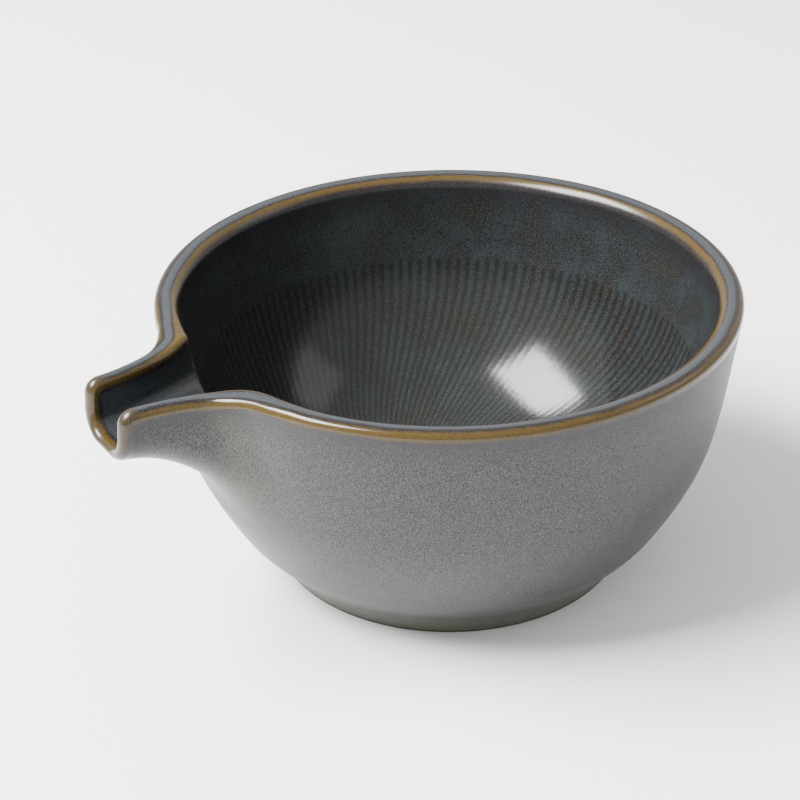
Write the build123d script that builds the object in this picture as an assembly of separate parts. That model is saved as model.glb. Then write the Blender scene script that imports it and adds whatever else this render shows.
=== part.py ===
from build123d import *
import math
import os

# Spouted grinding bowl in glazed stoneware: a thrown bowl, a pouring spout luted to its rim and a
# turned foot ring. Millimetres, +Z up. The origin is the centre of the foot ring's resting plane,
# on the bowl's axis, and +X points along the spout.

# ---- Driving dimensions ---------------------------------------------------------------------
RIM_RADIUS = 65.0            # outside of the rim
BOWL_HEIGHT = 65.5           # resting plane to the top of the rim
WALL_THICKNESS = 5.6         # at the rim, growing a little towards the floor
RIM_OUTER_ROUND = 2.0        # rounding of the rim's outer corner
RIM_INNER_ROUND = 2.6        # rounding of the rim's inner corner

SHOULDER_RADIUS = 60.5       # outside of the wall at SHOULDER_HEIGHT
SHOULDER_HEIGHT = 34.5
BELLY_RADIUS = 51.6          # outside of the wall at BELLY_HEIGHT
BELLY_HEIGHT = 14.5
BODY_BASE_RADIUS = 41.8      # outside of the wall where it sits on the foot ring

FLOOR_TOP = 10.0             # height of the inside floor at the axis
FLOOR_CURVE_RADIUS = 24.0    # inside radius at FLOOR_CURVE_HEIGHT, where the floor turns up
FLOOR_CURVE_HEIGHT = 13.0
INNER_BELLY_RADIUS = 46.5    # inside radius at INNER_BELLY_HEIGHT
INNER_BELLY_HEIGHT = 25.5

FOOT_RADIUS = 40.0           # outside of the foot ring
FOOT_BORE_RADIUS = 33.0      # inside of the foot ring, round the turned recess
FOOT_HEIGHT = 3.5
FOOT_EDGE_ROUND = 0.8

SPOUT_REACH = 85.2           # bowl's axis to the end of the lip
SPOUT_ROOT = 52.0            # where the spout's solid starts, inside the wall, before trimming
SPOUT_TOP = 63.6             # top edges of the cheeks at the lip
SPOUT_TOP_RISE = 1.6         # how much higher the cheeks stand where they meet the rim
LIP_HALF_WIDTH = 9.9         # outside, at the lip
ROOT_HALF_WIDTH = 17.9       # outside, 26 mm back from the lip
OUTSIDE_POWER = 2.4          # the outside widens with this power of the way back
CHANNEL_LIP_HALF_WIDTH = 6.1     # inside, at the lip
CHANNEL_ROOT_HALF_WIDTH = 11.1   # inside, 26 mm back from the lip
CHANNEL_POWER = 1.8          # the channel widens with this power of the way back
FLARE_LENGTH = 26.0          # length over which the spout widens towards the bowl
LIP_UNDERSIDE = 50.7         # underside of the spout at the lip
ROOT_UNDERSIDE = 39.3        # underside 22 mm back from the lip, against the bowl
UNDERSIDE_LENGTH = 22.0
CHANNEL_LIP_FLOOR = 53.2     # channel floor at the lip
CHANNEL_ROOT_FLOOR = 51.2    # channel floor where it opens into the bowl
CHANNEL_ROUNDNESS = 0.7      # bottom corners' radius, as a share of the smaller of width and depth
LIP_EDGE_ROUND = 1.0

SECTION_COUNT = 6            # cross-sections lofted along the spout
OVERSHOOT = 6.0              # how far a cutting shape runs past what it cuts


# ---- Bowl -----------------------------------------------------------------------------------
def half_profile(edges):
    """Close a list of edges in the XZ plane into a face and turn it about Z."""
    return revolve(make_face(Wire(edges)), Axis.Z)


def outer_wall_edge(start_height, start_radius):
    """Return the outside curve of the wall, from its base up to the rim's outer rounding."""
    top = Vector(RIM_RADIUS, 0, BOWL_HEIGHT - RIM_OUTER_ROUND)
    return Edge.make_spline(
        [
            Vector(start_radius, 0, start_height),
            Vector(BELLY_RADIUS, 0, BELLY_HEIGHT),
            Vector(SHOULDER_RADIUS, 0, SHOULDER_HEIGHT),
            top,
        ],
        tangents=[Vector(0.66, 0, 0.75), Vector(0.09, 0, 1)],
    )


def inner_wall_edge():
    """Return the inside curve, from the rim's inner rounding down to the middle of the floor."""
    rim_inside = RIM_RADIUS - WALL_THICKNESS
    return Edge.make_spline(
        [
            Vector(rim_inside, 0, BOWL_HEIGHT - RIM_INNER_ROUND),
            Vector(INNER_BELLY_RADIUS, 0, INNER_BELLY_HEIGHT),
            Vector(FLOOR_CURVE_RADIUS, 0, FLOOR_CURVE_HEIGHT),
            Vector(0, 0, FLOOR_TOP),
        ],
        tangents=[Vector(-0.09, 0, -1), Vector(-1, 0, 0)],
    )


def rim_edges():
    """Return the rounded top of the rim: outer arc, flat and inner arc."""
    outer = Vector(RIM_RADIUS - RIM_OUTER_ROUND, 0, BOWL_HEIGHT)
    rim_inside = RIM_RADIUS - WALL_THICKNESS
    inner = Vector(rim_inside + RIM_INNER_ROUND, 0, BOWL_HEIGHT)
    quarter = math.sqrt(0.5)
    outer_middle = Vector(
        RIM_RADIUS - RIM_OUTER_ROUND * (1 - quarter), 0, BOWL_HEIGHT - RIM_OUTER_ROUND * (1 - quarter)
    )
    inner_middle = Vector(
        rim_inside + RIM_INNER_ROUND * (1 - quarter), 0, BOWL_HEIGHT - RIM_INNER_ROUND * (1 - quarter)
    )
    return [
        Edge.make_three_point_arc(
            Vector(RIM_RADIUS, 0, BOWL_HEIGHT - RIM_OUTER_ROUND), outer_middle, outer
        ),
        Edge.make_line(outer, inner),
        Edge.make_three_point_arc(
            inner, inner_middle, Vector(rim_inside, 0, BOWL_HEIGHT - RIM_INNER_ROUND)
        ),
    ]


def thrown_bowl():
    """Turn the whole bowl above the foot ring: wall, rim and floor, before the spout opening."""
    base = Vector(BODY_BASE_RADIUS, 0, FOOT_HEIGHT)
    centre_below = Vector(0, 0, FOOT_HEIGHT)
    edges = [
        Edge.make_line(centre_below, base),
        outer_wall_edge(FOOT_HEIGHT, BODY_BASE_RADIUS),
        *rim_edges(),
        inner_wall_edge(),
        Edge.make_line(Vector(0, 0, FLOOR_TOP), centre_below),
    ]
    return half_profile(edges)


def filled_bowl():
    """Turn the bowl's outside shape as a full solid that runs on above the rim, to trim the spout."""
    above = BOWL_HEIGHT + OVERSHOOT
    shoulder = Vector(RIM_RADIUS, 0, BOWL_HEIGHT - RIM_OUTER_ROUND)
    edges = [
        Edge.make_line(Vector(0, 0, FOOT_HEIGHT), Vector(BODY_BASE_RADIUS, 0, FOOT_HEIGHT)),
        outer_wall_edge(FOOT_HEIGHT, BODY_BASE_RADIUS),
        Edge.make_line(shoulder, Vector(RIM_RADIUS, 0, above)),
        Edge.make_line(Vector(RIM_RADIUS, 0, above), Vector(0, 0, above)),
        Edge.make_line(Vector(0, 0, above), Vector(0, 0, FOOT_HEIGHT)),
    ]
    return half_profile(edges)


def turned_foot():
    """Turn the foot ring, flat on top against the bowl and rounded at its two lower corners."""
    ring = Cylinder(FOOT_RADIUS, FOOT_HEIGHT, align=(Align.CENTER, Align.CENTER, Align.MIN))
    ring -= Cylinder(FOOT_BORE_RADIUS, FOOT_HEIGHT, align=(Align.CENTER, Align.CENTER, Align.MIN))
    return fillet(ring.edges().group_by(Axis.Z)[0], FOOT_EDGE_ROUND)


# ---- Spout ----------------------------------------------------------------------------------
def widening(lip_width, root_width, back, power):
    """Return a half width that grows with a power of the distance back from the lip."""
    return lip_width + (root_width - lip_width) * (back / FLARE_LENGTH) ** power


def u_section(x, half_width, floor, top):
    """Return a U-shaped face across the spout at x: upright sides and a half-round bottom."""
    bottom_round = CHANNEL_ROUNDNESS * min(half_width, top - floor)
    inset = bottom_round * (1 - math.sqrt(0.5))
    edges = [
        Edge.make_line(Vector(x, half_width, top), Vector(x, -half_width, top)),
        Edge.make_line(Vector(x, -half_width, top), Vector(x, -half_width, floor + bottom_round)),
        Edge.make_three_point_arc(
            Vector(x, -half_width, floor + bottom_round),
            Vector(x, -half_width + inset, floor + inset),
            Vector(x, -half_width + bottom_round, floor),
        ),
        Edge.make_line(
            Vector(x, -half_width + bottom_round, floor), Vector(x, half_width - bottom_round, floor)
        ),
        Edge.make_three_point_arc(
            Vector(x, half_width - bottom_round, floor),
            Vector(x, half_width - inset, floor + inset),
            Vector(x, half_width, floor + bottom_round),
        ),
        Edge.make_line(Vector(x, half_width, floor + bottom_round), Vector(x, half_width, top)),
    ]
    return make_face(Wire(edges))


def spout_outside():
    """Loft the spout's outside, from inside the wall to the lip, with the channel still filled."""
    sections = []
    for step in range(SECTION_COUNT):
        back = (SPOUT_REACH - SPOUT_ROOT) * (1 - step / (SECTION_COUNT - 1))
        rise = SPOUT_TOP_RISE * (back / (SPOUT_REACH - SPOUT_ROOT)) ** 2
        drop = (LIP_UNDERSIDE - ROOT_UNDERSIDE) * (back / UNDERSIDE_LENGTH) ** 2
        half_width = widening(LIP_HALF_WIDTH, ROOT_HALF_WIDTH, back, OUTSIDE_POWER)
        top = SPOUT_TOP + rise
        sections.append(u_section(SPOUT_REACH - back, half_width, LIP_UNDERSIDE - drop, top))
    return loft(sections)


def channel_void():
    """Loft the space that the liquid runs through, from inside the bowl to past the lip."""
    start = SPOUT_ROOT - OVERSHOOT
    end = SPOUT_REACH + OVERSHOOT
    top = BOWL_HEIGHT + OVERSHOOT
    sections = []
    for step in range(SECTION_COUNT):
        x = start + (end - start) * step / (SECTION_COUNT - 1)
        back = max(SPOUT_REACH - x, 0.0)
        floor = CHANNEL_LIP_FLOOR - (CHANNEL_LIP_FLOOR - CHANNEL_ROOT_FLOOR) * back / FLARE_LENGTH
        half_width = widening(CHANNEL_LIP_HALF_WIDTH, CHANNEL_ROOT_HALF_WIDTH, back, CHANNEL_POWER)
        sections.append(u_section(x, half_width, floor, top))
    return loft(sections)


# ---- Pieces ---------------------------------------------------------------------------------
channel = channel_void()
bowl_wall = thrown_bowl() - channel
open_spout = spout_outside() - filled_bowl() - channel
lip_end = open_spout.faces().sort_by(Axis.X)[-1]
pouring_spout = fillet(lip_end.edges(), LIP_EDGE_ROUND)
foot_ring = turned_foot()

os.makedirs("parts", exist_ok=True)
pieces = {
    "bowl_wall": bowl_wall,
    "pouring_spout": pouring_spout,
    "foot_ring": foot_ring,
}
for name, shape in pieces.items():
    export_step(shape, f"parts/{name}.step")
    print(name, "solids", len(shape.solids()), "volume", round(shape.volume))
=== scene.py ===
"""Spouted grinding bowl in slate-grey reactive glaze, on pale paper in soft studio light.

The bowl is three formed parts fired as one: the thrown bowl, with a combed lining worked into its
inside, the pouring spout luted over an opening in its rim, and the turned foot ring. Every surface
is worked out with numpy in millimetres in the object's own frame: +Z up the bowl's axis, +X along
the spout, and the origin in the middle of the foot's resting plane. The clay's lengths are in
millimetres up to clay_mesh, which turns them into metres. The studio's are in metres.
"""

import logging
import math
from collections.abc import Callable
from dataclasses import dataclass
from enum import Enum

import bpy
import numpy as np
from mathutils import Matrix, Vector


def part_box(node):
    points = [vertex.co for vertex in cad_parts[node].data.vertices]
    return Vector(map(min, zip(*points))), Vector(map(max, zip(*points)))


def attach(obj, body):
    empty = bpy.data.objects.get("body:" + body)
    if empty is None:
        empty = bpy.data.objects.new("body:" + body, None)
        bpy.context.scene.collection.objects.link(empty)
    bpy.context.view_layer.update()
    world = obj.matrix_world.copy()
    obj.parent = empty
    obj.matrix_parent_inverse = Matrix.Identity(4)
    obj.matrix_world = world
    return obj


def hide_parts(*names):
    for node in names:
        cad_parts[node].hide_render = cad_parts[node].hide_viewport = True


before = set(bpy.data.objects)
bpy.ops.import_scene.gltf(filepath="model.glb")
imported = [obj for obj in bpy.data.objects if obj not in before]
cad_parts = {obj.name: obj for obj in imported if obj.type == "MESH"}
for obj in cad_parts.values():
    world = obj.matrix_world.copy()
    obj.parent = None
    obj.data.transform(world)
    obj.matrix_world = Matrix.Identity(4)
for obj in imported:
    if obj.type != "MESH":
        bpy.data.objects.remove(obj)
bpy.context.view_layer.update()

LOG = logging.getLogger("grinding_bowl")
MM = 0.001
DistanceField = Callable[[np.ndarray], np.ndarray]
Socket = bpy.types.NodeSocket
Tree = bpy.types.NodeTree


# ---- Small tools for curves and fields ------------------------------------------------------
def smooth_step(value: np.ndarray, low: float, high: float) -> np.ndarray:
    """Ease from 0 at low to 1 at high with the cubic 3t^2 - 2t^3.

    Args:
        value: Where to read the step.
        low: The value at which it leaves 0.
        high: The value at which it reaches 1.

    Returns:
        The eased values, between 0 and 1.
    """
    t = np.clip((value - low) / (high - low), 0.0, 1.0)
    return t * t * (3.0 - 2.0 * t)


def flowing_curve(at: np.ndarray, xs: np.ndarray, ys: np.ndarray) -> np.ndarray:
    """Read a curve through a few points that never overshoots them.

    Between two neighbouring points the curve is the cubic that leaves and arrives at slopes m. At an
    inner point, m is the harmonic mean of the two chord slopes beside it, and zero where they differ
    in sign. At an end, m is that end's own chord slope.

    Args:
        at: Where to read the curve. Beyond the ends it runs on straight.
        xs: The points' positions, rising.
        ys: The points' heights.

    Returns:
        The curve's heights at those places.
    """
    step = np.diff(xs)
    chord = np.diff(ys) / step
    product = chord[:-1] * chord[1:]
    total = chord[:-1] + chord[1:]
    inner = np.where(product > 0.0, 2.0 * product / np.where(total == 0.0, 1.0, total), 0.0)
    slope = np.concatenate([chord[:1], inner, chord[-1:]])
    k = np.clip(np.searchsorted(xs, at) - 1, 0, len(step) - 1)
    t = (at - xs[k]) / step[k]
    u = np.clip(t, 0.0, 1.0)
    rise = ys[k] + (ys[k + 1] - ys[k]) * u * u * (3.0 - 2.0 * u)
    bend = step[k] * u * (1.0 - u) * (slope[k] * (1.0 - u) - slope[k + 1] * u)
    beyond = (t - u) * step[k] * np.where(t > 1.0, slope[k + 1], slope[k])
    return rise + bend + beyond


def round_join(a: np.ndarray, b: np.ndarray, radius: np.ndarray | float) -> np.ndarray:
    """Unite two distance fields, with a cove of the given radius along their join."""
    u = np.maximum(radius - a, 0.0)
    v = np.maximum(radius - b, 0.0)
    return np.maximum(radius, np.minimum(a, b)) - np.hypot(u, v)


def round_cut(a: np.ndarray, b: np.ndarray, radius: np.ndarray | float) -> np.ndarray:
    """Keep what two distance fields share, with a rounding of the given radius along the edge."""
    u = np.maximum(radius + a, 0.0)
    v = np.maximum(radius + b, 0.0)
    return np.minimum(-radius, np.maximum(a, b)) + np.hypot(u, v)


def unit(vectors: np.ndarray) -> np.ndarray:
    """Scale each vector of the last axis to length 1."""
    return vectors / np.maximum(np.linalg.norm(vectors, axis=-1, keepdims=True), 1e-12)


def blur_ring(values: np.ndarray, width: float) -> np.ndarray:
    """Smooth values that run round a closed ring with a bell curve.

    Args:
        values: One row for each place on the ring.
        width: The bell curve's standard deviation, in places.

    Returns:
        The smoothed rows: each frequency f of the ring is scaled by exp(-(2 pi f width)^2 / 2).
    """
    frequency = np.fft.fftfreq(len(values))
    bell = np.exp(-0.5 * (2.0 * math.pi * frequency * width) ** 2)
    spectrum = np.fft.fft(values, axis=0)
    return np.real(np.fft.ifft(spectrum * bell.reshape(-1, *[1] * (values.ndim - 1)), axis=0))


# ---- The bowl's shape as fields -------------------------------------------------------------
@dataclass(frozen=True)
class BowlForm:
    """The shape of the clay, as fields that are negative inside and grow with the distance outside.

    Insets are how far a wall stands inside its own radius at the rim. A span is the two places
    between which a change eases in. The half widths, depths and drops are the spout's.
    """

    rim_radius: float
    height: float
    foot_height: float
    reach: float
    wall: float = 5.6
    outer_heights: tuple[float, ...] = (3.5, 14.5, 34.5, 63.5)
    outer_insets: tuple[float, ...] = (23.2, 13.4, 4.5, 0.0)
    inner_heights: tuple[float, ...] = (13.0, 25.5, 46.0, 64.0)
    inner_insets: tuple[float, ...] = (35.4, 12.9, 3.0, 0.0)
    floor_top: float = 10.0
    floor_turn: float = 25.5
    ledge: float = 46.0
    flare: float = 26.0
    flare_limit: float = 1.4
    lip_half: float = 9.9
    root_half: float = 17.9
    root_power: float = 2.4
    channel_lip_half: float = 6.1
    channel_root_half: float = 11.1
    channel_power: float = 1.8
    cheek_drop: float = 1.9
    cheek_drop_span: tuple[float, float] = (56.0, 66.0)
    trough_inset: float = 20.0
    depth: float = 12.9
    channel_depth: float = 10.4
    root_drop: float = 11.4
    corner_share: float = 0.7
    outer_round: float = 1.9
    inner_round: float = 3.0
    lip_corner: float = 3.0
    cove: float = 5.0
    seam_round: float = 0.8
    near_sweep: float = 8.0
    near_sweep_span: tuple[float, float] = (-3.0, 6.0)
    lip_tilt: float = 0.08
    drop_length: float = 22.0
    channel_fall: float = 2.0
    channel_sharpening: float = 1.4
    sharpening_span: tuple[float, float] = (50.0, 60.0)

    @property
    def cheek_top(self) -> float:
        """Height of the cheeks' top edges at the lip."""
        return self.height - self.cheek_drop

    def outer_radius(self, z: np.ndarray) -> np.ndarray:
        """Outside radius of the thrown wall at height z."""
        inset = flowing_curve(z, np.array(self.outer_heights), np.array(self.outer_insets))
        return self.rim_radius - inset

    def inner_radius(self, z: np.ndarray) -> np.ndarray:
        """Inside radius of the thrown wall at height z, above the floor."""
        inset = flowing_curve(z, np.array(self.inner_heights), np.array(self.inner_insets))
        return self.rim_radius - self.wall - inset

    def way_back(self, x: np.ndarray) -> np.ndarray:
        """Way back from the lip at x, as a share of the length over which the spout flares."""
        return np.clip(self.reach - x, 0.0, self.flare_limit * self.flare) / self.flare

    def outer_half(self, x: np.ndarray) -> np.ndarray:
        """Half width of the spout's outside at x: grows from the lip as a power of the way back."""
        widening = self.root_half - self.lip_half
        return self.lip_half + widening * self.way_back(x) ** self.root_power

    def channel_half(self, x: np.ndarray) -> np.ndarray:
        """Half width of the channel at x: grows from the lip as a power of the way back."""
        widening = self.channel_root_half - self.channel_lip_half
        return self.channel_lip_half + widening * self.way_back(x) ** self.channel_power

    def trough(self, p: np.ndarray, half: np.ndarray, floor: np.ndarray) -> np.ndarray:
        """Field of an endless U section that is open upwards.

        Args:
            p: Points, millimetres.
            half: Half width of the U at each point.
            floor: Height of its underside at each point.

        Returns:
            Distance in the YZ plane to a box with rounded lower corners, cut off inside the bowl.
        """
        corner = self.corner_share * np.minimum(half, self.cheek_top - floor)
        side = np.abs(p[..., 1]) - (half - corner)
        down = floor + corner - p[..., 2]
        outside = np.hypot(np.maximum(side, 0.0), np.maximum(down, 0.0))
        section = outside + np.minimum(np.maximum(side, down), 0.0) - corner
        return np.maximum(section, self.rim_radius - self.trough_inset - p[..., 0])

    def wall_field(self, p: np.ndarray, radius_at: DistanceField) -> np.ndarray:
        """Distance outward from a turned wall, made nearly true by the wall's slope over 1 mm."""
        z = p[..., 2]
        slope = radius_at(z + 0.5) - radius_at(z - 0.5)
        return (np.hypot(p[..., 0], p[..., 1]) - radius_at(z)) / np.sqrt(1.0 + slope**2)

    def outer_field(self, p: np.ndarray) -> np.ndarray:
        """Field of the bowl and spout as if they were solid: wall and trough, coved together."""
        return round_join(self.wall_field(p, self.outer_radius), self.outer_trough(p), self.cove)

    def outer_trough(self, p: np.ndarray) -> np.ndarray:
        """Field of the spout's outside as if it were solid and ran on into the bowl."""
        back = self.way_back(p[..., 0]) * self.flare / self.drop_length
        floor = self.cheek_top - self.depth - self.root_drop * back**2
        return self.trough(p, self.outer_half(p[..., 0]), floor)

    def inner_field(self, p: np.ndarray) -> np.ndarray:
        """Field of the hollow: the inside of the bowl and the channel, meeting at a crisp seam."""
        fall = self.channel_fall * self.way_back(p[..., 0])
        floor = self.cheek_top - self.channel_depth - fall
        half = self.channel_half(p[..., 0])
        seam = self.seam_round + self.near_sweep * smooth_step(p[..., 1], *self.near_sweep_span)
        return round_join(self.wall_field(p, self.inner_radius), self.trough(p, half, floor), seam)

    def cap_field(self, p: np.ndarray) -> np.ndarray:
        """Field of what lies under the rim and behind the lip's end."""
        drop = self.cheek_drop * smooth_step(p[..., 0], *self.cheek_drop_span)
        top = p[..., 2] - (self.height - drop)
        end = p[..., 0] - (self.reach - self.lip_tilt * (p[..., 2] - self.cheek_top + self.depth))
        return round_cut(top, end, self.lip_corner)

    def clay_field(self, p: np.ndarray) -> np.ndarray:
        """Field of the clay itself, with its edges rounded."""
        body = round_cut(self.outer_field(p), self.cap_field(p), self.outer_round)
        sharper = self.channel_sharpening * smooth_step(p[..., 0], *self.sharpening_span)
        return round_cut(body, -self.inner_field(p), self.inner_round - sharper)

    @staticmethod
    def gradient(of: DistanceField, p: np.ndarray) -> np.ndarray:
        """Unit direction in which a field grows fastest, from differences over 0.1 mm."""
        steps = 0.05 * np.eye(3)
        return unit(np.stack([of(p + step) - of(p - step) for step in steps], axis=-1))


# ---- Meshes from arrays ---------------------------------------------------------------------
def clay_mesh(
    name: str,
    points: np.ndarray,
    faces: list[np.ndarray],
    normals: np.ndarray | None = None,
    marks: dict[str, np.ndarray] | None = None,
) -> bpy.types.Object:
    """Make a smooth-shaded mesh object from whole arrays.

    Args:
        name: Name of the piece.
        points: Vertices in millimetres, one row each.
        faces: Arrays of vertex numbers, one row for each face, all faces of one array alike.
        normals: Unit normals to shade by, one for each vertex. Rows of zeros are left to the mesh.
        marks: Numbers kept on the vertices by name, for the materials to read.

    Returns:
        The object, linked to the scene, with its place in its mesh.
    """
    used = np.unique(np.concatenate([f.ravel() for f in faces]))
    renumber = np.zeros(len(points), dtype=np.int64)
    renumber[used] = np.arange(len(used))
    corners = np.concatenate([renumber[f].ravel() for f in faces]).astype(np.int32)
    sides = np.concatenate([np.full(len(f), f.shape[1], dtype=np.int32) for f in faces])
    mesh = bpy.data.meshes.new(name)
    mesh.vertices.add(len(used))
    mesh.vertices.foreach_set("co", (points[used] * MM).astype(np.float32).ravel())
    mesh.loops.add(len(corners))
    mesh.loops.foreach_set("vertex_index", corners)
    mesh.polygons.add(len(sides))
    starts = np.concatenate([[0], np.cumsum(sides)[:-1]]).astype(np.int32)
    mesh.polygons.foreach_set("loop_start", starts)
    mesh.polygons.foreach_set("use_smooth", np.ones(len(sides), dtype=bool))
    mesh.update(calc_edges=True)
    mesh.validate()
    for mark, values in (marks or {}).items():
        layer = mesh.attributes.new(mark, "FLOAT", "POINT")
        layer.data.foreach_set("value", values[used].astype(np.float32))
    if normals is not None:
        mesh.normals_split_custom_set_from_vertices(normals[used].astype(np.float32))
    piece = bpy.data.objects.new(name, mesh)
    bpy.context.scene.collection.objects.link(piece)
    return piece


def seat(piece: bpy.types.Object, node: str, finish: bpy.types.Material) -> None:
    """Put a finish on a piece, seat it on the body and hide the node whose place it takes.

    Args:
        piece: The piece.
        node: The node whose plain shape it takes the place of.
        finish: Its material.
    """
    piece.data.materials.append(finish)
    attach(piece, "root")
    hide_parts(node)
    LOG.info("%s: %d faces in %s", piece.name, len(piece.data.polygons), finish.name)


def band_quads(rows: int, columns: int) -> np.ndarray:
    """Number the faces of a grid whose vertices run row by row and whose last column joins the first.

    Args:
        rows: Rows of vertices.
        columns: Vertices in a row.

    Returns:
        An array (rows - 1, columns, 4) of vertex numbers, turning from row to row.
    """
    j, i = np.meshgrid(np.arange(rows - 1), np.arange(columns), indexing="ij")
    k = (i + 1) % columns
    near = j * columns
    far = near + columns
    return np.stack([near + i, near + k, far + k, far + i], axis=-1)


def grid_normals(points: np.ndarray) -> np.ndarray:
    """Unit normals of a closed grid, rows by columns, from the cross product of its differences."""
    along = np.roll(points, -1, axis=1) - np.roll(points, 1, axis=1)
    across = np.gradient(points, axis=0)
    return unit(np.cross(along, across))


def turn_profile(radii: np.ndarray, heights: np.ndarray, angles: np.ndarray) -> np.ndarray:
    """Turn a profile about the axis: rows of the profile by columns at the given angles."""
    x = radii[:, None] * np.cos(angles)
    y = radii[:, None] * np.sin(angles)
    return np.stack([x, y, np.broadcast_to(heights[:, None], x.shape)], axis=-1)


def add_poles(
    grid: np.ndarray, normals: np.ndarray, low: float, high: float
) -> tuple[np.ndarray, np.ndarray]:
    """List a grid's points and normals, and after them a point on the axis for each end.

    Args:
        grid: Points, rows by columns.
        normals: Unit normals, rows by columns.
        low: Height of the point that closes the first row. It faces down.
        high: Height of the point that closes the last row. It faces up.

    Returns:
        The points and the normals, one row each.
    """
    poles = np.array([[0.0, 0.0, low], [0.0, 0.0, high]])
    facing = np.array([[0.0, 0.0, -1.0], [0.0, 0.0, 1.0]])
    return np.concatenate([grid.reshape(-1, 3), poles]), np.concatenate([normals.reshape(-1, 3), facing])


def pole_fans(rows: int, columns: int) -> list[np.ndarray]:
    """Number the triangles from a grid's first and last rows to the two points of add_poles.

    Args:
        rows: Rows of the grid.
        columns: Vertices in a row.

    Returns:
        The fan at the first row and the fan at the last.
    """
    i = np.arange(columns)
    k = (i + 1) % columns
    pole = rows * columns
    last = (rows - 1) * columns
    return [
        np.stack([np.full(columns, pole), k, i], axis=-1),
        np.stack([np.full(columns, pole + 1), last + i, last + k], axis=-1),
    ]


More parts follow.
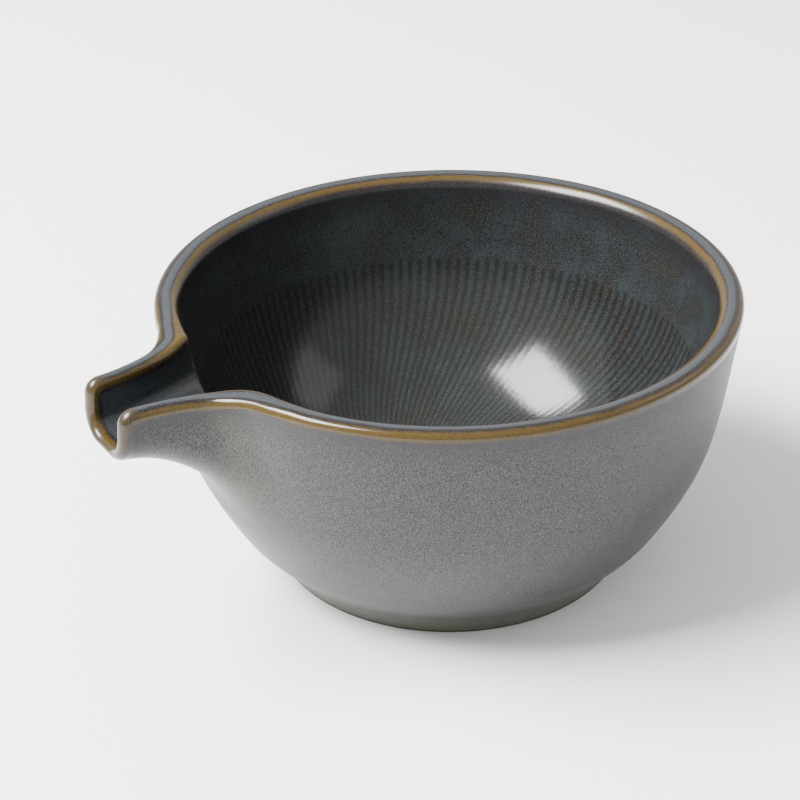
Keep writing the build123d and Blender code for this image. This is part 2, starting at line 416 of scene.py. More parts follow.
# ---- The thrown bowl and its spout ----------------------------------------------------------
@dataclass
class GlazedBody:
    """Bowl and spout as one grid: columns run round the rim and the lip, rows over it.

    A column starts under the floor, climbs the outside, turns over the edge and goes down the inside.
    The grid is then parted into the bowl and the spout, which meet face to face inside the clay.
    """

    form: BowlForm
    edge_depth: float = 3.2
    walk: float = 0.1
    cheek_end: float = 60.0
    fine_step: float = 0.5
    round_step: float = 1.25
    flare_angle: float = math.radians(25.0)
    root_angle: float = math.radians(20.0)
    base_height: float = 12.0
    heel: float = 1.0
    floor_rings: tuple[float, ...] = (0.3, 12.0, 24.0, 34.0, 38.0)
    outer_rows: int = 64
    strip_rows: int = 37
    inner_rows: int = 46
    hidden_rows: int = 16
    outer_eye: tuple[float, float, float] = (22.0, 0.0, 60.0)
    inner_eye: tuple[float, float, float] = (15.0, 0.0, 70.0)
    throw: tuple[float, float] = (0.3, 3.0)
    longest_ray: float = 14.0
    spout_from: float = 0.45
    spout_to: float = 0.86
    lining_gap: float = 0.8
    crease_width: float = 3.0
    below_limit: float = 60.0

    def edge_route(self) -> tuple[np.ndarray, np.ndarray]:
        """Lay out the columns along a line in mid-wall, a little below the edge.

        The half route runs up one side of the lip, back along the cheek and round the rim to the
        back. Columns stand fine_step apart at the spout and round_step apart round the back, and the
        other half is its mirror image.

        Returns:
            The points of the closed route, and the angle on the bowl at which each column stands.
        """
        form = self.form
        half = (form.lip_half + form.channel_lip_half) / 2.0
        low = form.cheek_top - (form.depth + form.channel_depth) / 2.0
        high = form.cheek_top - self.edge_depth
        x_lip = form.reach - self.edge_depth
        y = np.arange(0.0, half, self.walk)
        z = np.arange(low, high, self.walk)
        x = np.arange(x_lip, self.cheek_end, -self.walk)
        cheek = (form.outer_half(x) + form.channel_half(x)) / 2.0
        mid_radius = form.rim_radius - form.wall / 2.0
        turn = np.arange(math.atan2(cheek[-1], x[-1]), math.pi, self.walk / mid_radius)
        legs = (
            (x_lip, y, low),
            (x_lip, half, z),
            (x, cheek, high),
            (mid_radius * np.cos(turn), mid_radius * np.sin(turn), high),
        )
        route = np.concatenate([np.column_stack(np.broadcast_arrays(*leg)) for leg in legs])
        length = np.concatenate([[0.0], np.cumsum(np.linalg.norm(np.diff(route, axis=0), axis=1))])
        angle = np.arctan2(route[:, 1], route[:, 0])
        past = np.argmax((angle > self.flare_angle) & (route[:, 0] < self.cheek_end))
        stand = np.where(np.arange(len(route)) < past, self.flare_angle * length / length[past], angle)
        spread = smooth_step(length, length[past] * 0.8, length[past] * 2.2)
        step = self.fine_step + (self.round_step - self.fine_step) * spread
        count = np.concatenate([[0.0], np.cumsum(np.diff(length) / step[1:])])
        columns = int(count[-1])
        at = np.linspace(0.0, count[-1], columns + 1)
        half_route = np.stack([np.interp(at, count, route[:, k]) for k in range(3)], axis=-1)
        half_stand = np.interp(at, count, stand)
        half_stand[-1] = math.pi
        mirror = np.array([1.0, -1.0, 1.0])
        ring = np.concatenate([half_route, (half_route * mirror)[-2:0:-1]])
        stands = np.concatenate([half_stand, 2.0 * math.pi - half_stand[-2:0:-1]])
        even = 2.0 * math.pi * np.arange(len(stands)) / len(stands)
        return ring, even + blur_ring(stands - even, 3.0)

    def settle(self, ring: np.ndarray) -> tuple[np.ndarray, np.ndarray, np.ndarray]:
        """Move the route to mid-wall and edge_depth under the edge.

        Args:
            ring: The route's first points.

        Returns:
            The settled points, the direction out through the wall, and the direction to the edge.
        """
        form = self.form

        def both(p: np.ndarray) -> np.ndarray:
            """Sum of the two wall fields, which grows straight outward through the clay."""
            return form.outer_field(p) + form.inner_field(p)

        mid_pull, edge_pull = 0.35, 0.7
        for _ in range(24):
            out = form.gradient(both, ring)
            lean = form.gradient(form.cap_field, ring)
            edge = unit(lean - np.sum(lean * out, axis=-1, keepdims=True) * out)
            ring = ring - mid_pull * out * both(ring)[:, None]
            ring = ring - edge_pull * edge * (self.edge_depth + form.cap_field(ring))[:, None]
        ring = blur_ring(ring, 2.0)
        out = unit(blur_ring(out, 4.0))
        edge = blur_ring(edge, 3.0)
        return ring, out, unit(edge - np.sum(edge * out, axis=-1, keepdims=True) * out)

    def over_edge(self, ring: np.ndarray, out: np.ndarray, edge: np.ndarray) -> np.ndarray:
        """Carry each column over the edge.

        From the mid-wall point a ray is turned through half a circle, from outward over the edge to
        inward, and each ray is followed to where it leaves the clay.

        Args:
            ring: Mid-wall points.
            out: Directions out through the wall.
            edge: Directions to the edge.

        Returns:
            Points, rows by columns.
        """
        turn = np.linspace(0.0, math.pi, self.strip_rows)[:, None, None]
        ray = np.cos(turn) * out[None] + np.sin(turn) * edge[None]
        reach = np.zeros(ray.shape[:2])
        for _ in range(60):
            field_here = self.form.clay_field(ring[None] + reach[..., None] * ray)
            reach = np.clip(reach - 0.8 * field_here, 0.0, self.longest_ray)
        return ring[None] + reach[..., None] * ray

    def onto(self, of: DistanceField, eye: np.ndarray, chord: np.ndarray) -> np.ndarray:
        """Throw points from an eye inside the bowl onto the zero surface of a field, by halving."""
        low = np.full(chord.shape[:2], self.throw[0])
        high = np.full(chord.shape[:2], self.throw[1])
        for _ in range(34):
            middle = (low + high) / 2.0
            inside = of(eye + middle[..., None] * (chord - eye)) < 0.0
            low = np.where(inside, middle, low)
            high = np.where(inside, high, middle)
        return eye + low[..., None] * (chord - eye)

    def underneath(self, stand: np.ndarray) -> np.ndarray:
        """Rows under the floor, round the heel and up the outside to base_height.

        Args:
            stand: The angle at which each column stands.

        Returns:
            Points, rows by columns.
        """
        form = self.form
        foot = form.foot_height
        low = np.linspace(foot + self.heel, self.base_height, 12)[:-1]
        turn = np.linspace(0.0, math.pi / 2.0, 6)[:-1]
        corner = form.outer_radius(np.array([foot + self.heel])) - self.heel
        radius = np.concatenate([self.floor_rings, corner + self.heel * np.sin(turn), form.outer_radius(low)])
        flat = np.full(len(self.floor_rings), foot)
        height = np.concatenate([flat, foot + self.heel - self.heel * np.cos(turn), low])
        return turn_profile(radius, height, stand)

    def part(
        self, quads: np.ndarray, stand: np.ndarray, first_row: int, last_row: int
    ) -> tuple[list[np.ndarray], list[np.ndarray]]:
        """Part the grid's faces into the bowl and the spout, and shut both where they meet.

        Args:
            quads: The grid's faces, rows by columns.
            stand: The angle at which each column stands.
            first_row: Where the spout starts on the outside.
            last_row: Where it ends on the inside.

        Returns:
            The bowl's faces and the spout's.
        """
        rows, columns = quads.shape[:2]
        i = np.arange(columns)
        reach = int(np.argmax(stand > self.root_angle))
        in_columns = (i < reach) | (i >= columns - reach)
        in_rows = (np.arange(rows) >= first_row) & (np.arange(rows) < last_row)
        spout = in_rows[:, None] & in_columns[None, :]
        here = i[in_columns]
        beside = (here + 1) % columns
        first, last = first_row * columns, last_row * columns
        joint = np.stack([first + here, last + here, last + beside, first + beside], axis=-1)
        loop = np.arange(first_row, last_row + 1) * columns
        sides = [np.array([loop + reach]), np.array([loop + columns - reach])[:, ::-1]]
        shut = [joint[:, ::-1], *[side[:, ::-1] for side in sides]]
        return [quads[~spout], *shut], [quads[spout], joint, *sides]

    def build(self) -> tuple[bpy.types.Object, bpy.types.Object]:
        """Work out the whole grid and part it into the bowl and the spout.

        Returns:
            The bowl's object and the spout's object.
        """
        form = self.form
        ring, stand = self.edge_route()
        ring, out, edge = self.settle(ring)
        strip = self.over_edge(ring, out, edge)
        under = self.underneath(stand)

        share = np.linspace(0.0, 1.0, self.outer_rows)[:-1, None, None]
        base_z = np.array([self.base_height])
        base = turn_profile(form.outer_radius(base_z), base_z, stand)
        outer = self.onto(form.outer_field, np.array(self.outer_eye), base + (strip[:1] - base) * share)

        share = np.linspace(0.0, 1.0, self.inner_rows)[1:, None, None]
        ledge_z = np.array([form.ledge])
        ledge = turn_profile(form.inner_radius(ledge_z), ledge_z, stand)
        chord = strip[-1:] + (ledge - strip[-1:]) * share
        inner = self.onto(form.inner_field, np.array(self.inner_eye), chord)

        back_r, back_z = offset_profile(*lining_profile(form, self.hidden_rows), self.lining_gap)
        hidden = turn_profile(back_r[1:-1], back_z[1:-1], stand)

        seen = np.concatenate([under, outer, strip, inner])
        grid = np.concatenate([seen, hidden])
        rows, columns = grid.shape[:2]
        normals = np.concatenate([grid_normals(seen), grid_normals(hidden)])
        points, normals = add_poles(grid, normals, form.foot_height, back_z[-1])
        row = np.concatenate([np.repeat(np.arange(rows), columns), [0, rows - 1]])
        strip_row = len(under) + len(outer)
        marks = self.marks(points, row, strip_row)

        first_row = len(under) + int(self.spout_from * len(outer))
        last_row = strip_row + len(strip) + int(self.spout_to * len(inner))
        bowl_faces, spout_faces = self.part(band_quads(rows, columns), stand, first_row, last_row)
        bowl_faces[1:1] = pole_fans(rows, columns)
        bowl = clay_mesh("bowl_wall_glazed", points, bowl_faces, normals, marks)
        spout = clay_mesh("pouring_spout_glazed", points, spout_faces, normals, marks)
        return bowl, spout

    def dress(
        self, bowl: bpy.types.Object, spout: bpy.types.Object, glaze: bpy.types.Material
    ) -> None:
        """Glaze the bowl and the spout and seat each on its own node.

        Args:
            bowl: The bowl's object.
            spout: The spout's object.
            glaze: The glaze over both.
        """
        seat(bowl, "bowl_wall", glaze)
        seat(spout, "pouring_spout", glaze)

    def marks(self, points: np.ndarray, row: np.ndarray, first: int) -> dict[str, np.ndarray]:
        """Work out the numbers that the glaze reads.

        Args:
            points: All vertices.
            row: Each vertex's row in the grid.
            first: First row of the strip over the edge.

        Returns:
            rim_turn, the turn over the edge as a share of a half circle, 0 outside and 1 inside;
            below_edge, the distance in millimetres from the edge; and crease, which is 1 where the
            outside of the spout runs into the wall and falls off as a bell curve.
        """
        form = self.form
        turn = np.clip((row - first) / (self.strip_rows - 1), 0.0, 1.0)
        wall = np.abs(form.wall_field(points, form.outer_radius))
        side = np.abs(form.outer_trough(points))
        crease = np.exp(-((np.maximum(wall, side) / self.crease_width) ** 2)) * (row < first)
        return {
            "rim_turn": turn,
            "below_edge": np.clip(-form.cap_field(points), 0.0, self.below_limit),
            "crease": crease,
        }


# ---- The combed lining ----------------------------------------------------------------------
def lining_profile(form: BowlForm, count: int) -> tuple[np.ndarray, np.ndarray]:
    """Lay out the inside profile from the ledge down to the middle of the floor.

    Two stretches: the wall, down to floor_turn, and the floor, a flat bowl whose height grows with
    the power of the radius that makes the two meet at the same slope.

    Args:
        form: The clay's shape.
        count: Points in the profile.

    Returns:
        Radii and heights, evenly spaced along the profile, from the ledge to the axis.
    """
    reach = 0.2
    join_z = form.floor_turn
    join_r = float(form.inner_radius(np.array([join_z]))[0])
    beside = form.inner_radius(np.array([join_z - reach, join_z + reach]))
    slope = float(beside[1] - beside[0]) / (2.0 * reach)
    rise = join_z - form.floor_top
    power = join_r / (slope * rise)
    z = np.linspace(form.ledge, join_z, 200)
    r = np.linspace(join_r, 0.0, 300)[1:]
    radii = np.concatenate([form.inner_radius(z), r])
    heights = np.concatenate([z, form.floor_top + rise * (r / join_r) ** power])
    length = np.concatenate([[0.0], np.cumsum(np.hypot(np.diff(radii), np.diff(heights)))])
    at = np.linspace(0.0, length[-1], count)
    return np.interp(at, length, radii), np.interp(at, length, heights)


def offset_profile(radii: np.ndarray, heights: np.ndarray, gap: float) -> tuple[np.ndarray, np.ndarray]:
    """Move a profile that runs inward along the floor by a gap into the clay beneath it."""
    dr = np.gradient(radii)
    dz = np.gradient(heights)
    size = np.hypot(dr, dz)
    moved = radii - gap * dz / size
    moved[-1] = 0.0
    return moved, heights + gap * dr / size


@dataclass
class CombedLining:
    """The inside below the ledge, with comb lines that swirl towards the middle of the floor.

    The lines are seen by the colour laid along them: brown glaze in the troughs, darkened as painted
    shade of the grooves. The grooves pressed under them are only a trace, far shallower than a comb
    leaves in real clay.
    """

    form: BowlForm
    grooves: int = 144
    samples: int = 6
    rows: int = 84
    depth: float = 0.009
    narrowness: float = 1.5
    lightest_press: float = 0.65
    start_spread: float = 0.012
    start_length: float = 0.02
    fade_radii: tuple[float, float] = (4.0, 20.0)
    swirl_angle: float = 1.03
    swirl_power: float = 2.2
    back_gap: float = 0.6
    back_rows: int = 16
    seed: int = 7

    def build(self) -> bpy.types.Object:
        """Carry the inside profile round the axis and press the comb's grooves into it.

        Across a groove the depth is depth * (0.5 - 0.5 cos(grooves * a)) ^ narrowness, where a is
        measured from the swirl. Each groove starts a little above or below the next, and all of them
        fade before the middle of the floor.

        Returns:
            The lining as a closed skin.
        """
        columns = self.grooves * self.samples
        radii, heights = lining_profile(self.form, self.rows)
        along = np.linspace(0.0, 1.0, self.rows)
        angle = 2.0 * math.pi * np.arange(columns) / columns
        theta = angle[None, :] + (self.swirl_angle * along**self.swirl_power)[:, None]
        wave = 0.5 - 0.5 * np.cos(self.grooves * angle)[None, :]
        random = np.random.default_rng(self.seed)
        start = np.repeat(self.start_spread * random.random(self.grooves), self.samples)
        give = (1.0 - self.lightest_press) * random.random(self.grooves)
        press = np.repeat(self.lightest_press + give, self.samples)
        begin = smooth_step(along[:, None] - start[None, :], 0.0, self.start_length)
        fade = begin * smooth_step(radii, *self.fade_radii)[:, None]
        dent = self.depth * press[None, :] * wave**self.narrowness * fade
        dr = np.gradient(radii)
        dz = np.gradient(heights)
        size = np.hypot(dr, dz)
        r = radii[:, None] - dent * (dz / size)[:, None]
        z = heights[:, None] + dent * (dr / size)[:, None]
        front = np.stack([r * np.cos(theta), r * np.sin(theta), z], axis=-1)[:-1]
        back_r, back_z = offset_profile(*lining_profile(self.form, self.back_rows), self.back_gap)
        back = turn_profile(back_r, back_z, angle)[-2::-1]
        grid = np.concatenate([back, front])
        normals = np.concatenate([grid_normals(back), grid_normals(front)])
        points, normals = add_poles(grid, normals, back_z[-1], heights[-1])
        groove = np.concatenate([np.zeros((len(back), columns)), (wave * fade)[:-1]]).ravel()
        low = np.concatenate([np.zeros(len(back)), along[:-1]])
        marks = {
            "groove": np.concatenate([groove, [0.0, 0.0]]),
            "down_wall": np.concatenate([np.repeat(low, columns), [1.0, 1.0]]),
        }
        faces = [band_quads(len(grid), columns).reshape(-1, 4), *pole_fans(len(grid), columns)]
        return clay_mesh("combed_lining", points, faces, normals, marks)

    def dress(self, lining: bpy.types.Object, glaze: bpy.types.Material) -> None:
        """Glaze the lining and seat it on the bowl's node."""
        seat(lining, "bowl_wall", glaze)


# ---- The foot ring --------------------------------------------------------------------------
@dataclass
class TurnedFoot:
    """The low ring that the bowl stands on: glazed on its leaning outside, bare where it rests."""

    form: BowlForm
    radius: float
    proud: float = 0.4
    lean: float = 0.52
    cove: float = 1.6
    tuck: float = 0.05
    tuck_span: tuple[float, float] = (5.0, 6.5)
    dive_from: float = 7.0
    top: float = 7.5
    bore: float = 33.0
    edge: float = 0.6
    columns: int = 320

    def build(self) -> bpy.types.Object:
        """Turn the ring's section about the axis.

        The outside is the larger radius of a leaning line and the wall, blended over a difference of
        cove by adding its quarter times the square of the share left; higher up it tucks in under
        the wall's skin. The bore is upright, and the two lower corners are quarter arcs. The last
        row of faces joins the last row of vertices to the first.

        Returns:
            The ring's object.
        """
        turn = np.linspace(0.0, math.pi / 2.0, 7)
        rise = np.linspace(self.edge, self.top, 24)
        line = self.radius + self.proud + self.lean * rise
        wall = self.form.outer_radius(rise)
        blend = np.maximum(1.0 - np.abs(line - wall) / self.cove, 0.0)
        face = np.maximum(line, wall) + 0.25 * self.cove * blend**2
        face = face - self.tuck * smooth_step(rise, *self.tuck_span)
        face = face - smooth_step(rise, self.dive_from, self.top)
        outer_r = line[0] - self.edge + self.edge * np.sin(turn)
        outer_z = self.edge - self.edge * np.cos(turn)
        inner_r = self.bore + self.edge - self.edge * np.cos(turn)
        inner_z = self.edge - self.edge * np.sin(turn)
        radii = np.concatenate(
            [
                outer_r,
                face[1:],
                np.linspace(face[-1], self.bore, 6)[1:-1],
                np.full(6, self.bore),
                inner_r,
                np.linspace(inner_r[-1], outer_r[0], 8)[1:-1],
            ]
        )
        down = np.linspace(self.top, self.edge, 7)[:-1]
        heights = np.concatenate([outer_z, rise[1:], np.full(4, self.top), down, inner_z, np.zeros(6)])
        angle = 2.0 * math.pi * np.arange(self.columns) / self.columns
        grid = turn_profile(radii, heights, angle)
        quads = band_quads(len(radii) + 1, self.columns).reshape(-1, 4) % grid[..., 0].size
        return clay_mesh("turned_foot_ring", grid.reshape(-1, 3), [quads])

    def dress(self, ring: bpy.types.Object, stoneware: bpy.types.Material) -> None:
        """Finish the ring and seat it on the foot's node."""
        seat(ring, "foot_ring", stoneware)


# ---- Finishes -------------------------------------------------------------------------------
class Coat(Enum):
    """Which side of the bowl a glaze is made for."""

    BODY = "body"
    LINING = "lining"


def linear(code: str) -> tuple[float, float, float, float]:
    """Turn an sRGB hex colour into linear red, green, blue and alpha."""
    parts = [int(code[k : k + 2], 16) / 255.0 for k in (1, 3, 5)]
    return tuple(p / 12.92 if p <= 0.04045 else ((p + 0.055) / 1.055) ** 2.4 for p in parts) + (1.0,)


def blank_material(name: str) -> bpy.types.Material:
    """Make a material whose node tree is empty."""
    made = bpy.data.materials.new(name)
    made.use_nodes = True
    made.node_tree.nodes.clear()
    return made


def add(
    tree: Tree,
    kind: str,
    inputs: dict | None = None,
    out: str | int = 0,
    stops: tuple = (),
    **settings: object,
) -> Socket | None:
    """Add a node with its settings, values and links.

    Args:
        tree: The material's tree.
        kind: The node's type, without its "ShaderNode" start.
        inputs: What goes into each input, by its name or number: a socket to link from, a hex
            colour, or a value.
        out: Name or number of the output wanted.
        stops: Positions of a colour ramp and the hex colour or grey value at each, in order.
        settings: Properties of the node itself.

    Returns:
        That output, or nothing where the node has none.
    """
    node = tree.nodes.new("ShaderNode" + kind)
    for key, value in settings.items():
        setattr(node, key, value)
    for key, value in (inputs or {}).items():
        if isinstance(value, Socket):
            tree.links.new(value, node.inputs[key])
        else:
            node.inputs[key].default_value = linear(value) if isinstance(value, str) else value
    if stops:
        ramp = node.color_ramp
        while len(ramp.elements) < len(stops):
            ramp.elements.new(1.0)
        for element, (place, colour) in zip(ramp.elements, stops):
            element.position = place
            element.color = linear(colour) if isinstance(colour, str) else (colour, colour, colour, 1.0)
    return node.outputs[out] if len(node.outputs) else None


@dataclass(frozen=True)
class Grain:
    """Fine grains that pepper a coat with darker and lighter points."""

    dark: str
    light: str
    strength: float = 1.0
    middle: float = 0.50
    gap: float = 0.01
    ramp: float = 0.10

    def over(self, tree: Tree, colour: Socket, noise: Socket) -> Socket:
        """Pepper a colour: the noise's low places go dark and its high places go light.

        Args:
            tree: The material's tree.
            colour: The colour between the grains.
            noise: The grains' noise, between 0 and 1.

        Returns:
            The peppered colour.
        """
        for side, tint in ((-1.0, self.dark), (1.0, self.light)):
            start = self.middle + side * self.gap
            end = start + side * self.ramp
            share = add(
                tree, "MapRange",
                {"Value": noise, "From Min": start, "From Max": end, "To Max": self.strength},
            )
            colour = add(tree, "MixRGB", {"Fac": share, "Color1": colour, "Color2": tint})
        return colour


@dataclass(frozen=True)
class ReactiveGlaze:
    """Iron-bearing reactive stoneware glaze, dipped and fired: satin slate grey, like a wet river stone.

    Two glasses part in the fire into fine grains, so the grey is peppered with lighter and darker
    points about a quarter of a millimetre across, which gives the eye the look of salt and pepper
    under glass. Where the coat runs thin over an edge the iron shows through as a brown line and a
    gold one. Where it lies thick inside the bowl it goes dark and glossy, with brown along the
    comb's troughs, darkened there as painted shade of the grooves. In the spout's channel it goes
    blue, a blue lightened as painted light. The two gloss levels are set below the usual 0.5. A span
    in millimetres is the two places between which a change eases in, and a share is how much of it
    there is.
    """

    coat: Coat
    grey_rim: str = "#12131d"
    grey_wall: str = "#1b202a"
    grey_foot: str = "#262a25"
    grey_span_mm: tuple[float, float] = (14.0, 78.0)
    cloud_lift_mm: float = 24.0
    thick: str = "#1f2122"
    thick_light: str = "#242829"
    thick_brown: str = "#221f1b"
    # Blue glaze gathered in the spout's channel, mixed in towards the lip and lightened as painted light.
    pooled_blue_and_painted_light: str = "#3b464d"
    pool_and_painted_light_span_mm: tuple[float, float] = (56.0, 86.0)
    pool_and_painted_light_share: float = 0.6
    # Brown of the glaze in the comb's troughs, made darker as painted shade of the grooves.
    trough: str = "#110e0c"
    trough_and_painted_shade_share: float = 0.55
    gold: str = "#3e2e05"
    brown: str = "#150d08"
    plum: str = "#161317"
    plum_span_mm: tuple[float, float] = (9.0, 1.2)
    plum_share: float = 0.7
    tan: str = "#2e220d"
    lip_span_mm: tuple[float, float] = (79.5, 82.5)
    top_grey: str = "#2a2d30"
    edge_span_mm: tuple[float, float] = (6.0, 4.0)
    line_sway: float = 0.10
    olive: str = "#48442c"
    olive_share: float = 0.85
    olive_wash: str = "#2b2c21"
    wash_share: float = 0.55
    grain_mm: float = 0.25
    mottle_mm: float = 9.0
    peel_mm: float = 1.6
    peel_depth_mm: float = 0.15
    ior: float = 1.48
    outer_grain: Grain = Grain("#040608", "#3e3f3b", ramp=0.06)
    edge_grain: Grain = Grain("#101317", "#484c52", 0.25)
    inner_grain: Grain = Grain("#121110", "#2e3233", 0.8)
    body_gloss: float = 0.36
    lining_gloss: float = 0.30

    def material(self) -> bpy.types.Material:
        """Build the node tree for the body's coat or the lining's."""
        made = blank_material(f"reactive_glaze_{self.coat.value}")
        tree = made.node_tree
        place = add(tree, "TexCoord", out="Object")
        grain, mottle, peel = (
            add(tree, "TexNoise", {"Vector": place, "Scale": 1.0 / (size * MM), "Detail": detail})
            for size, detail in ((self.grain_mm, 2.0), (self.mottle_mm, 3.0), (self.peel_mm, 2.0))
        )
        if self.coat is Coat.BODY:
            colour, rough = self.body_colour(tree, place, grain, mottle)
            gloss = self.body_gloss
        else:
            colour, rough = self.lining_colour(tree, grain, mottle)
            gloss = self.lining_gloss
        bump = add(tree, "Bump", {"Height": peel, "Strength": 0.10, "Distance": self.peel_depth_mm * MM})
        shader = add(
            tree, "BsdfPrincipled",
            {
                "Base Color": colour, "Roughness": rough, "Normal": bump, "IOR": self.ior,
                "Specular IOR Level": gloss,
            },
        )
        add(tree, "OutputMaterial", {"Surface": shader})
        return made

    def outside_colour(self, tree: Tree, place: Socket, grain: Socket, mottle: Socket) -> Socket:
        """Colour of the outside: plum grey under the rim, slate in mid-wall, olive towards the foot.

        Args:
            tree: The material's tree.
            place: Object coordinates.
            grain: The grains' noise.
            mottle: The cloudy noise, which also shifts the three greys up and down the wall.

        Returns:
            The colour.
        """
        height = add(tree, "SeparateXYZ", {"Vector": place}, out="Z")
        lift = self.cloud_lift_mm * MM
        level = add(tree, "Math", {0: mottle, 1: lift, 2: height}, operation="MULTIPLY_ADD")
        low, high = (at * MM for at in self.grey_span_mm)
        share = add(tree, "MapRange", {"Value": level, "From Min": low, "From Max": high})
        outside = add(
            tree, "ValToRGB", {"Fac": share},
            stops=((0.0, self.grey_foot), (0.55, self.grey_wall), (1.0, self.grey_rim)),
        )
        cloud = add(
            tree, "MapRange",
            {"Value": mottle, "From Min": 0.44, "From Max": 0.62, "To Max": self.wash_share},
        )
        outside = add(tree, "MixRGB", {"Fac": cloud, "Color1": outside, "Color2": self.olive_wash})
        crease = add(tree, "Attribute", out="Fac", attribute_name="crease")
        dusting = add(tree, "Math", {0: crease, 1: self.olive_share}, operation="MULTIPLY")
        dusted = add(tree, "MixRGB", {"Fac": dusting, "Color1": outside, "Color2": self.olive})
        return self.outer_grain.over(tree, dusted, grain)

    def edge_colour(self, tree: Tree, ahead: Socket, turn: Socket, mottle: Socket) -> Socket:
        """Colour over the edges: gold and brown lines along the rim, tan across the lip's end.

        Args:
            tree: The material's tree.
            ahead: Distance ahead of the axis, along the spout.
            turn: The turn over the edge, 0 outside and 1 inside.
            mottle: The cloudy noise, which makes the lines sway.

        Returns:
            The colour.
        """
        swayed = add(tree, "Math", {0: mottle, 1: self.line_sway, 2: turn}, operation="MULTIPLY_ADD")
        centred = add(tree, "Math", {0: swayed, 1: self.line_sway / 2.0}, operation="SUBTRACT")
        rim = add(
            tree, "ValToRGB", {"Fac": centred},
            stops=(
                (0.06, self.plum), (0.15, self.brown), (0.20, self.gold), (0.32, self.gold),
                (0.38, self.brown), (0.42, self.brown), (0.46, self.top_grey), (0.57, self.top_grey),
                (0.62, self.brown), (0.67, self.gold), (0.76, self.gold), (0.86, self.brown),
            ),
        )
        lip = add(
            tree, "ValToRGB", {"Fac": turn},
            stops=(
                (0.10, self.plum), (0.30, self.tan), (0.55, self.tan), (0.70, self.gold), (0.85, self.brown),
            ),
        )
        start, end = (at * MM for at in self.lip_span_mm)
        is_lip = add(tree, "MapRange", {"Value": ahead, "From Min": start, "From Max": end})
        return add(tree, "MixRGB", {"Fac": is_lip, "Color1": rim, "Color2": lip})

    def thick_colour(self, tree: Tree, mottle: Socket) -> Socket:
        """Colour of the thick coat inside, clouded from brown to a lighter grey."""
        return add(
            tree, "ValToRGB", {"Fac": mottle},
            stops=((0.38, self.thick_brown), (0.5, self.thick), (0.64, self.thick_light)),
        )

    def body_colour(self, tree: Tree, place: Socket, grain: Socket, mottle: Socket) -> tuple[Socket, Socket]:
        """Colour and roughness of the coat over the outside, the edges and the plain band inside.

        Args:
            tree: The material's tree.
            place: Object coordinates.
            grain: The grains' noise.
            mottle: The cloudy noise.

        Returns:
            The colour and the roughness.
        """
        outside = self.outside_colour(tree, place, grain, mottle)
        ahead = add(tree, "SeparateXYZ", {"Vector": place}, out="X")
        # Towards the lip the inside band goes to a lighter blue: glaze gathered in the channel, lightened as
        # painted light.
        start, end = (at * MM for at in self.pool_and_painted_light_span_mm)
        pooled_and_painted_light = add(
            tree, "MapRange",
            {"Value": ahead, "From Min": start, "From Max": end, "To Max": self.pool_and_painted_light_share},
        )
        band = self.thick_colour(tree, mottle)
        pool_and_painted_light_band = add(tree, "MixRGB", {"Fac": pooled_and_painted_light, "Color1": band, "Color2": self.pooled_blue_and_painted_light})
        inside = self.inner_grain.over(tree, pool_and_painted_light_band, grain)
        turn = add(tree, "Attribute", out="Fac", attribute_name="rim_turn")
        below = add(tree, "Attribute", out="Fac", attribute_name="below_edge")
        is_inside = add(tree, "MapRange", {"Value": turn, "From Min": 0.80, "From Max": 1.0})
        body = add(tree, "MixRGB", {"Fac": is_inside, "Color1": outside, "Color2": inside})
        far, near = self.plum_span_mm
        thinning = add(
            tree, "MapRange",
            {"Value": below, "From Min": far, "From Max": near, "To Max": self.plum_share},
        )
        thin = add(tree, "MixRGB", {"Fac": thinning, "Color1": body, "Color2": self.plum})
        edge = self.edge_grain.over(tree, self.edge_colour(tree, ahead, turn, mottle), grain)
        starts = add(tree, "MapRange", {"Value": turn, "From Max": 0.10})
        ends = add(tree, "MapRange", {"Value": turn, "From Min": 1.0, "From Max": 0.92})
        far, near = self.edge_span_mm
        is_near = add(tree, "MapRange", {"Value": below, "From Min": far, "From Max": near})
        both = add(tree, "Math", {0: starts, 1: ends}, operation="MULTIPLY")
        at_edge = add(tree, "Math", {0: both, 1: is_near}, operation="MULTIPLY")
        colour = add(tree, "MixRGB", {"Fac": at_edge, "Color1": thin, "Color2": edge})
        rough = add(
            tree, "ValToRGB", {"Fac": turn},
            stops=((0.05, 0.42), (0.17, 0.16), (0.36, 0.16), (0.45, 0.30), (0.62, 0.22), (0.94, 0.24)),
        )
        return colour, rough

    def lining_colour(self, tree: Tree, grain: Socket, mottle: Socket) -> tuple[Socket, Socket]:
        """Colour and roughness of the coat over the combed lining, with the comb lines laid on in brown,
        darkened as painted shade of the grooves.

        Args:
            tree: The material's tree.
            grain: The grains' noise.
            mottle: The cloudy noise.

        Returns:
            The colour and the roughness, which falls from the ledge down.
        """
        peppered = self.inner_grain.over(tree, self.thick_colour(tree, mottle), grain)
        # Along the comb lines the colour goes to a dark brown: glaze in the troughs, darkened as painted
        # shade of the grooves.
        groove = add(tree, "Attribute", out="Fac", attribute_name="groove")
        share = add(
            tree, "MapRange",
            {"Value": groove, "From Min": 0.25, "From Max": 0.85, "To Max": self.trough_and_painted_shade_share},
        )
        colour = add(tree, "MixRGB", {"Fac": share, "Color1": peppered, "Color2": self.trough})
        down = add(tree, "Attribute", out="Fac", attribute_name="down_wall")
        rough = add(tree, "MapRange", {"Value": down, "From Max": 0.2, "To Min": 0.24, "To Max": 0.16})
        return colour, rough


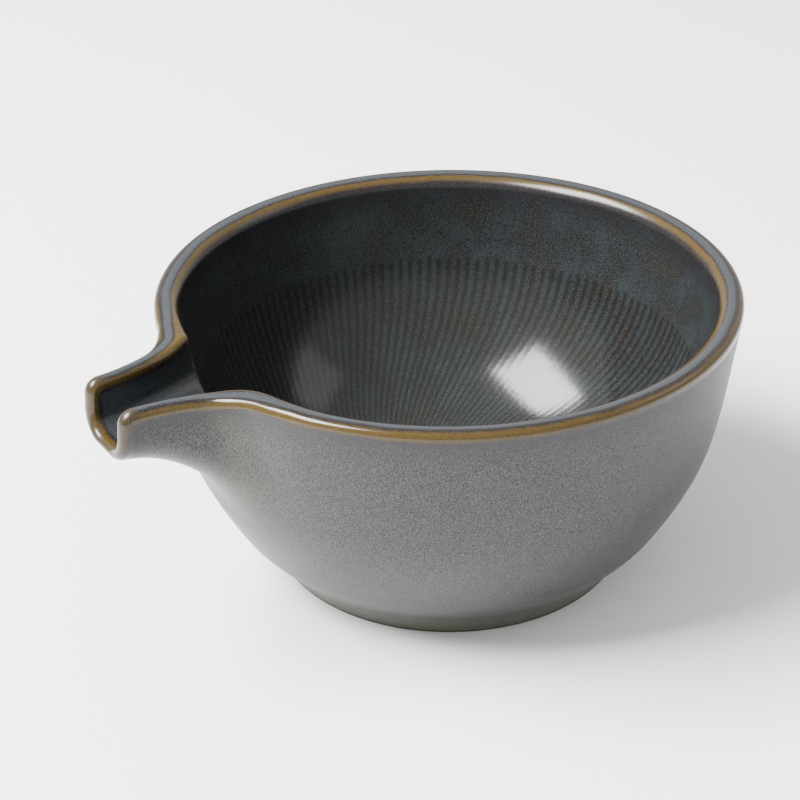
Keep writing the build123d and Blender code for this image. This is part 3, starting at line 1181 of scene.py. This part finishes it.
@dataclass(frozen=True)
class BareStoneware:
    """Brown stoneware fired without glaze: matt and gritty like dry earth, under a thin olive coat.

    The coat runs down the ring's outside and stops just short of the ground, so bare clay shows only
    as a dark line at the base, and over the whole of the underside.
    """

    clay: str = "#4a3a2c"
    clay_dark: str = "#2b2018"
    clay_light: str = "#6b5844"
    line: str = "#1d140e"
    coat: str = "#272a25"
    # Lighter olive low on the ring: thinner coat, lightened as painted light from the paper.
    coat_low_and_painted_light: str = "#47483a"
    coat_grain: Grain = Grain("#050709", "#44443b", 0.8)
    grit_mm: float = 0.25
    grit_depth_mm: float = 0.2
    ragged_mm: float = 0.4
    coat_end_mm: float = 0.55
    burnt_mm: float = 0.1
    thin_coat_and_painted_light_span_mm: tuple[float, float] = (6.0, 3.0)
    clay_rough: float = 0.85
    coat_rough: float = 0.42

    def material(self) -> bpy.types.Material:
        """Build the node tree: thin olive coat on the ring's outside, bare clay under it."""
        made = blank_material("bare_stoneware_foot")
        tree = made.node_tree
        place = add(tree, "TexCoord", out="Object")
        grit = add(tree, "TexNoise", {"Vector": place, "Scale": 1.0 / (self.grit_mm * MM), "Detail": 2.0})
        height = add(tree, "SeparateXYZ", {"Vector": place}, out="Z")
        ragged = self.ragged_mm * MM
        level = add(tree, "Math", {0: grit, 1: ragged, 2: height}, operation="MULTIPLY_ADD")
        end = self.coat_end_mm * MM
        coated = add(tree, "MapRange", {"Value": level, "From Min": end, "From Max": end + ragged})
        clay = add(
            tree, "ValToRGB", {"Fac": grit},
            stops=((0.35, self.clay_dark), (0.5, self.clay), (0.65, self.clay_light)),
        )
        burnt = add(tree, "MapRange", {"Value": height, "From Max": self.burnt_mm * MM})
        bare = add(tree, "MixRGB", {"Fac": burnt, "Color1": clay, "Color2": self.line})
        # Low on the ring the coat goes to a lighter olive: thinner coat, lightened as painted light from the
        # paper.
        start, full = (at * MM for at in self.thin_coat_and_painted_light_span_mm)
        thinning = add(tree, "MapRange", {"Value": height, "From Min": start, "From Max": full})
        thin = add(tree, "MixRGB", {"Fac": thinning, "Color1": self.coat, "Color2": self.coat_low_and_painted_light})
        coat = self.coat_grain.over(tree, thin, grit)
        colour = add(tree, "MixRGB", {"Fac": coated, "Color1": bare, "Color2": coat})
        rough = add(
            tree, "MapRange", {"Value": coated, "To Min": self.clay_rough, "To Max": self.coat_rough}
        )
        bump = add(tree, "Bump", {"Height": grit, "Strength": 0.25, "Distance": self.grit_depth_mm * MM})
        shader = add(tree, "BsdfPrincipled", {"Base Color": colour, "Roughness": rough, "Normal": bump})
        add(tree, "OutputMaterial", {"Surface": shader})
        return made


@dataclass(frozen=True)
class PaperSheet:
    """Seamless studio paper: matt and almost white, so it only carries the bowl's soft shadow."""

    white: str = "#efefef"
    rough: float = 0.9
    sheen_level: float = 0.2

    def material(self) -> bpy.types.Material:
        """Build the node tree of the matt white."""
        made = blank_material("studio_paper")
        shader = add(
            made.node_tree, "BsdfPrincipled",
            {"Base Color": self.white, "Roughness": self.rough, "Specular IOR Level": self.sheen_level},
        )
        add(made.node_tree, "OutputMaterial", {"Surface": shader})
        return made


# ---- Studio ---------------------------------------------------------------------------------
@dataclass(frozen=True)
class SoftLight:
    """A rectangular soft light: where it hangs, how big it is and how strong."""

    name: str
    turn: float
    lift: float
    distance: float
    size: tuple[float, float]
    power: float

    def hang(self) -> None:
        """Hang the light so that it faces the bowl.

        Its place is given by an angle from +X towards +Y and an elevation, both in degrees, and a
        distance in metres.
        """
        lamp = bpy.data.lights.new(self.name, "AREA")
        lamp.shape = "RECTANGLE"
        lamp.size, lamp.size_y = self.size
        lamp.energy = self.power
        a, e = math.radians(self.turn), math.radians(self.lift)
        place = self.distance * Vector((math.cos(a) * math.cos(e), math.sin(a) * math.cos(e), math.sin(e)))
        holder = bpy.data.objects.new(self.name, lamp)
        facing = place.to_track_quat("Z", "Y").to_matrix().to_4x4()
        holder.matrix_world = Matrix.Translation(place) @ facing
        bpy.context.scene.collection.objects.link(holder)


@dataclass(frozen=True)
class Studio:
    """Pale paper, soft light and the camera."""

    camera_distance: float = 0.450
    lens: float = 88.07
    sensor: float = 36.0
    elevation: float = math.radians(30.264)
    yaw: float = math.radians(-1.416)
    pitch: float = math.radians(0.344)
    roll: float = math.radians(-0.238)
    heading: float = math.radians(56.5)
    paper_half: float = 3.0
    air: float = 1.12
    lights: tuple[SoftLight, ...] = (
        SoftLight("softbox_left", -23.0, 54.0, 1.13, (0.74, 0.48), 72.0),
        SoftLight("card_right", 152.0, 36.0, 1.0, (0.45, 0.38), 0.8),
    )

    def camera(self, aim_height: float) -> None:
        """Set the camera on the near side of the spout, looking down at the bowl.

        Args:
            aim_height: Height of the point on the axis that the distance is measured from, metres.
        """
        side = Vector((-math.sin(self.heading), math.cos(self.heading), 0.0))
        back = Vector((math.cos(self.heading), math.sin(self.heading), 0.0))
        look = -back * math.cos(self.elevation) - Vector((0, 0, 1)) * math.sin(self.elevation)
        place = Vector((0, 0, aim_height)) - look * self.camera_distance
        up = side.cross(look)
        look_yaw = look * math.cos(self.yaw) + side * math.sin(self.yaw)
        side_yaw = side * math.cos(self.yaw) - look * math.sin(self.yaw)
        look_pitch = look_yaw * math.cos(self.pitch) + up * math.sin(self.pitch)
        up_pitch = up * math.cos(self.pitch) - look_yaw * math.sin(self.pitch)
        side_roll = side_yaw * math.cos(self.roll) + up_pitch * math.sin(self.roll)
        up_roll = up_pitch * math.cos(self.roll) - side_yaw * math.sin(self.roll)
        camera = bpy.data.objects.new("camera", bpy.data.cameras.new("camera"))
        camera.data.lens = self.lens
        camera.data.sensor_width = self.sensor
        turned = Matrix((side_roll, up_roll, -look_pitch)).transposed()
        camera.matrix_world = Matrix.Translation(place) @ turned.to_4x4()
        bpy.context.scene.collection.objects.link(camera)
        bpy.context.scene.camera = camera

    def floor(self) -> None:
        """Lay the sheet of pale paper."""
        corner = self.paper_half / MM
        corners = corner * np.array([[-1.0, -1.0, 0.0], [1.0, -1.0, 0.0], [1.0, 1.0, 0.0], [-1.0, 1.0, 0.0]])
        paper = clay_mesh("paper", corners, [np.array([[0, 1, 2, 3]])])
        paper.data.materials.append(PaperSheet().material())

    def build(self, aim_height: float) -> None:
        """Set up the camera, the paper, the lights and the even light of the room.

        Args:
            aim_height: Height that the camera's distance is measured from, metres.
        """
        self.camera(aim_height)
        self.floor()
        for light in self.lights:
            light.hang()
        world = bpy.data.worlds.new("studio_air")
        bpy.context.scene.world = world
        world.use_nodes = True
        background = world.node_tree.nodes["Background"]
        background.inputs["Color"].default_value = (1.0, 1.0, 1.0, 1.0)
        background.inputs["Strength"].default_value = self.air


def main() -> None:
    """Build the bowl, dress it and light it."""
    logging.basicConfig(level=logging.INFO, format="%(name)s: %(message)s")
    wall_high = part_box("bowl_wall")[1]
    foot_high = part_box("foot_ring")[1]
    form = BowlForm(
        rim_radius=wall_high[1] / MM,
        height=wall_high[2] / MM,
        foot_height=foot_high[2] / MM,
        reach=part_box("pouring_spout")[1][0] / MM,
    )
    body = GlazedBody(form)
    bowl, spout = body.build()
    body.dress(bowl, spout, ReactiveGlaze(Coat.BODY).material())
    lining = CombedLining(form)
    lining.dress(lining.build(), ReactiveGlaze(Coat.LINING).material())
    foot = TurnedFoot(form, foot_high[0] / MM)
    foot.dress(foot.build(), BareStoneware().material())
    Studio().build(wall_high[2] / 2.0)


if __name__ == "__main__":
    main()
